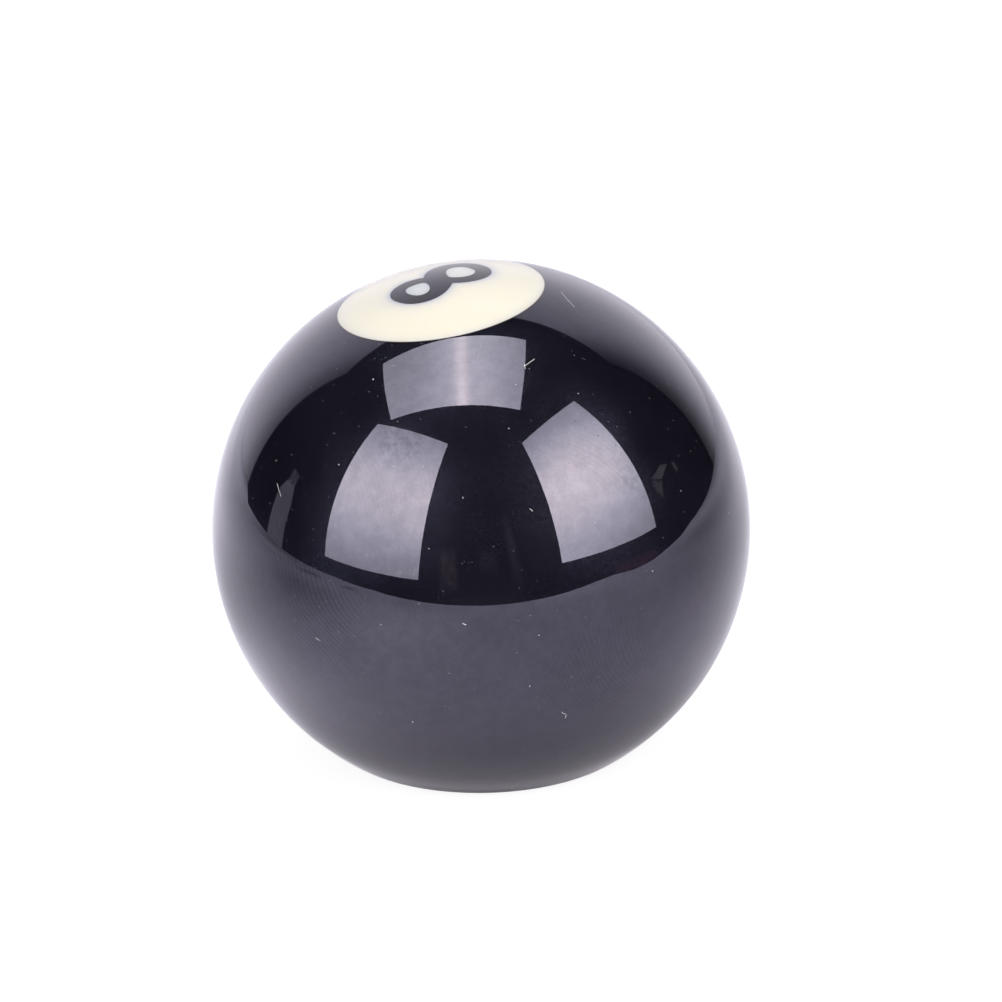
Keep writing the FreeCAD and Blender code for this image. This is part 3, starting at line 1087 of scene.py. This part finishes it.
def paper_painted_light(net, x, y):
    """Brightness of the paper as the knob reflects it, with painted patches of light and shade
    and a painted bright ring round the foot
    """
    paper_and_painted_light = 1.0
    for centre_x, centre_y, width_x, width_y, gain in PAINTED_LIGHT_PATCHES:
        across = net.div(net.sub(x, centre_x), width_x)
        along = net.div(net.sub(y, centre_y), width_y)
        squared = net.add(net.mul(across, across), net.mul(along, along))
        paper_and_painted_light = net.add(paper_and_painted_light, net.mul(net.fall(squared), gain))
    # painted light: a bright ring round the foot, 16 mm from the axis
    radius = net.math("SQRT", net.add(net.mul(x, x), net.mul(y, y)))
    return net.add(paper_and_painted_light, net.mul(net.bell(radius, centre=0.0160, width=0.0014), 0.55))


def make_floor():
    mesh = bpy.data.meshes.new("floor")
    mesh.from_pydata([(x, y, 0.0) for x, y in TABLE], [], [tuple(range(len(TABLE)))])
    obj = stage("floor", mesh)
    material, net = new_material("floor")
    seen = net.camera_ray()
    place = net.coord("Object")
    paper = net.noise(net.vec("SCALE", place, scale=1000.0), scale=0.8, detail=4.0, rough=0.6)
    x, y, _ = net.xyz(place)
    # what the knob reflects: the paper with painted patches of light and shade and a painted
    # bright ring round the foot
    paper_and_painted_light = net.mul(paper_painted_light(net, x, y), net.smooth(paper, span=(0.2, 0.8), to=(0.985, 1.0)))
    reflected = net.diffuse(net.vec("SCALE", (0.560, 0.563, 0.628), scale=paper_and_painted_light))
    fleck = net.smooth(paper, span=(0.2, 0.8), to=(0.97, 1.0))
    lit = net.add_shader(net.diffuse(net.vec("SCALE", (0.15, 0.15, 0.165), scale=fleck)),
                         net.emission(0.87))
    surface = net.mix_shader(seen, reflected, lit)
    # clear to a low camera and from behind, and to every ray once the camera is under it
    behind = net.node("ShaderNodeNewGeometry").outputs["Backfacing"]
    unseen = net.mul(net.max(behind, camera_low(net, LOW_SINE)), seen)
    net.out(net.mix_shader(net.max(unseen, camera_low(net)), surface, net.clear()))
    obj.data.materials.append(material)


def make_backdrop():
    """Sheet behind the knob: plain white to the camera, graded in reflections"""
    depth = 0.40
    left, right, top = -0.76, 0.62, 0.74
    obj = sheet("backdrop", [(left, depth, 0.0), (right, depth, 0.0), (right, depth, top),
                             (left, depth, top)], cells=8)
    material, net = new_material("backdrop")
    place = net.xyz(net.coord("Object"))
    # tangents as seen from the ball's centre
    x = net.div(place[0], depth)
    z = net.div(net.sub(place[2], CENTRE_Z * MM), depth)
    upper_edge = net.sub(1.45, net.mul(net.math("MINIMUM", x, 0.0), 0.12))
    level = net.linear(z, gain=-0.36, offset=1.42)
    low = net.mul(net.bell(x, centre=0.0, width=0.32), net.bell(z, centre=-0.03, width=0.16))
    level = net.mul(level, net.linear(low, gain=-0.28, offset=1.0))
    # dimmer towards both sides, then cut off
    for span, to in (((-1.65, -0.85), (0.38, 1.0)), ((0.55, 1.40), (1.0, 0.12)),
                     ((-1.61, -1.55), (0.0, 1.0)), ((1.36, 1.43), (1.0, 0.0))):
        level = net.mul(level, net.smooth(x, span, to))
    level = net.mul(level, net.smooth(net.sub(z, upper_edge), span=(-0.03, 0.03), to=(1.0, 0.0)))
    reflected = net.emission(level, colour=(1.0, 0.965, 1.07))
    plain = net.emission(net.lerp(camera_low(net, LOW_SINE), SEEN_WHITE, LOW_WHITE))
    net.out(net.mix_shader(net.camera_ray(), reflected, plain))
    obj.data.materials.append(material)


make_floor()
make_backdrop()

# dim things across the room: name; corners as azimuth and elevation, lower left, lower right,
# upper right, upper left; colour; level; soft edge as a share of the side; blotchiness
ROOM_SHAPES = [
    ("room_strip", [(-101.9, -9), (-91.7, -9), (-91.7, 9), (-101.7, 9)],
     (0.93, 0.93, 1.0), 0.74, 0.015, 0.10),
    ("room_strip_mid", [(-101.7, 8.9), (-91.7, 8.9), (-93.6, 13.4), (-99.0, 13.2)],
     (0.96, 0.94, 1.0), 0.78, 0.03, 0.15),
    ("room_strip_top", [(-99.0, 13.1), (-93.6, 13.3), (-93.6, 17.4), (-98.6, 17.4)],
     (0.96, 0.95, 1.0), 0.50, 0.05, 0.50),
    ("room_right_a", [(85.7, 17.3), (91.6, 13.9), (98.9, 15.6), (95.1, 17.7)],
     (1.0, 0.97, 0.88), 0.55, 0.12, 0.25),
    ("room_right_b", [(85.9, 13.0), (88.2, 8.8), (91.8, 13.9), (85.7, 17.4)],
     (1.0, 0.98, 0.90), 0.42, 0.14, 0.40),
    ("room_right_c", [(100.7, 11.0), (103.1, 10.5), (102.9, 14.1), (100.8, 14.8)],
     (1.0, 0.98, 0.92), 0.34, 0.20, 0.20),
    ("room_red", [(57.1, -10.0), (81.5, -10.0), (76.9, -2.8), (55.6, -2.2)],
     (1.0, 0.32, 0.42), 0.21, 0.07, 0.35),
    ("room_mid_a", [(-19.5, -6.0), (-8.0, -6.0), (-10.0, 17.0), (-19.0, 16.5)],
     (1.0, 0.78, 0.70), 0.26, 0.30, 0.65),
    ("room_mid_b", [(-3.5, 2.0), (8.5, 2.0), (8.0, 16.0), (-3.0, 16.5)],
     (1.0, 0.85, 0.75), 0.12, 0.35, 0.60),
    ("room_mid_c", [(11.4, -6.0), (18.8, -6.0), (12.8, 33.0), (8.3, 33.0)],
     (1.0, 0.84, 0.70), 0.17, 0.42, 0.40)]
ROOM_DISTANCE = 1.3


def room_shape(name, corners, colour, level, soft, blotch):
    places = [CENTRE + ROOM_DISTANCE * Vector(towards(*corner)) for corner in corners]
    obj = sheet(name, places, cells=4)
    material, net = new_material(name)
    uv = net.coord("UV")
    axes = net.xyz(uv)
    edges = []
    for k in (0, 1):
        from_edge = net.sub(0.5, net.math("ABSOLUTE", net.sub(axes[k], 0.5)))
        edges.append(net.smooth(from_edge, span=(0.0, soft)))
    fleck = net.smooth(net.noise(uv, scale=4.5, detail=3.0, rough=0.6, distort=0.6),
                       span=(0.38, 0.62), to=(1.0 - blotch, 1.0))
    strength = net.mul(net.mul(net.mul(*edges), fleck), level)
    net.out(net.add_shader(net.emission(strength, colour), net.clear()))
    obj.data.materials.append(material)
    hide(obj)


for row in ROOM_SHAPES:
    room_shape(*row)


def make_world():
    """Dark room, white to the camera, and lit from below when the camera is under the table"""
    world = bpy.data.worlds.new("room")
    scene.world = world
    world.use_nodes = True
    net = Net(world.node_tree)
    z = net.xyz(net.coord("Generated"))[2]
    down = net.mul(camera_low(net), net.less(z, 0.0))
    room = net.mix(down, (0.010, 0.010, 0.016), (0.80, 0.80, 0.83))
    seen = net.mix(camera_low(net, LOW_SINE), (SEEN_WHITE,) * 3, (LOW_WHITE,) * 3)
    colour = net.mix(net.camera_ray(), room, seen)
    background = net.node("ShaderNodeBackground", {"Color": colour}).outputs[0]
    net.node("ShaderNodeOutputWorld", {"Surface": background})


make_world()

scene.view_settings.view_transform = "Standard"
scene.view_settings.look = "None"
scene.view_settings.exposure = 0.0
scene.view_settings.gamma = 1.0
scene.cycles.use_denoising = True
scene.cycles.max_bounces = 8
scene.cycles.sample_clamp_indirect = 6.0
